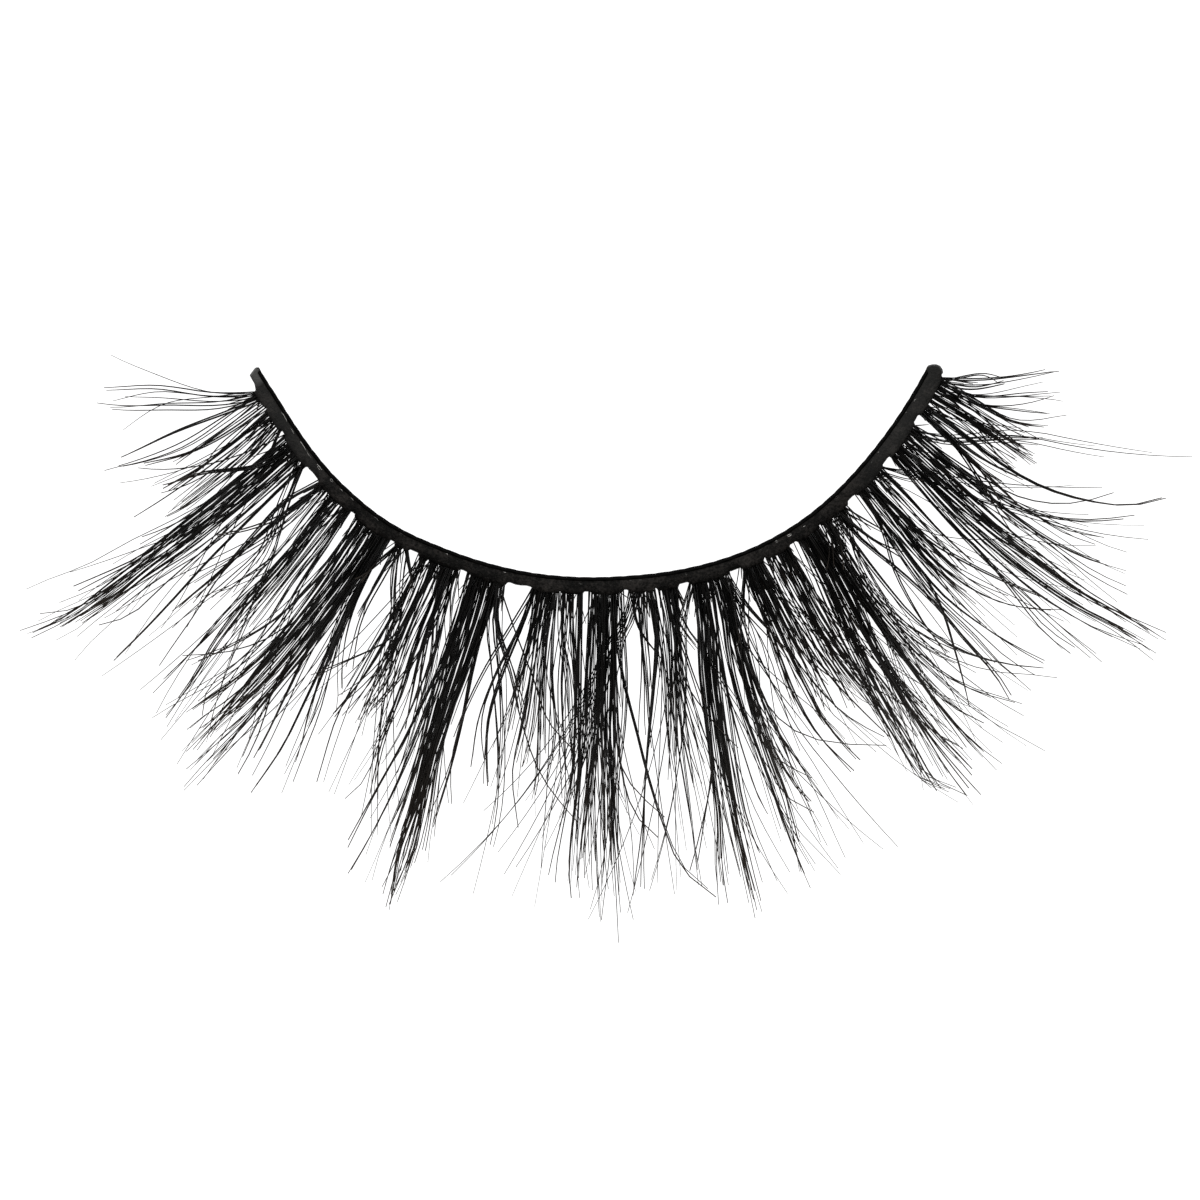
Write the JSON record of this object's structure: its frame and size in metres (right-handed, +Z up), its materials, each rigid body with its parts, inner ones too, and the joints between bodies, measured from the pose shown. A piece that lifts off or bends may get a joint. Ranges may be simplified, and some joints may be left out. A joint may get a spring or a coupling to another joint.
{
  "type": "false eyelash strip",
  "caption": "Curved black strip of false eyelashes: a thin flexible band with an edge thread, and spiky clusters of tapered lashes that fan out and curl up, lying flat",
  "frame": {"origin": "on the underside of the band, at the middle of its length and of its width", "axes": "+X along the strip, towards the end with the longer fan of lashes at the band's tip, +Y into the hollow of the curve, where the lid's edge goes, +Z up from the surface that the strip lies on"},
  "size_m": [0.046, 0.0225, 0.0061],
  "materials": {
    "band": "satin",
    "thread": "twisted thread",
    "lashes": "soft silky sheen"
  },
  "bodies": {
    "root": {"band": "band", "edge_thread": "thread", "lash_cluster_01": "lashes", "lash_cluster_02": "lashes", "lash_cluster_03": "lashes", "lash_cluster_04": "lashes", "lash_cluster_05": "lashes", "lash_cluster_06": "lashes", "lash_cluster_07": "lashes", "lash_cluster_08": "lashes", "lash_cluster_09": "lashes", "lash_cluster_10": "lashes", "lash_cluster_11": "lashes", "lash_cluster_12": "lashes", "lash_cluster_13": "lashes", "lash_cluster_14": "lashes", "lash_cluster_15": "lashes", "lash_cluster_16": "lashes", "lash_cluster_17": "lashes", "lash_cluster_18": "lashes", "lash_cluster_19": "lashes", "lash_cluster_20": "lashes", "lash_cluster_21": "lashes"}
  },
  "joints": []
}
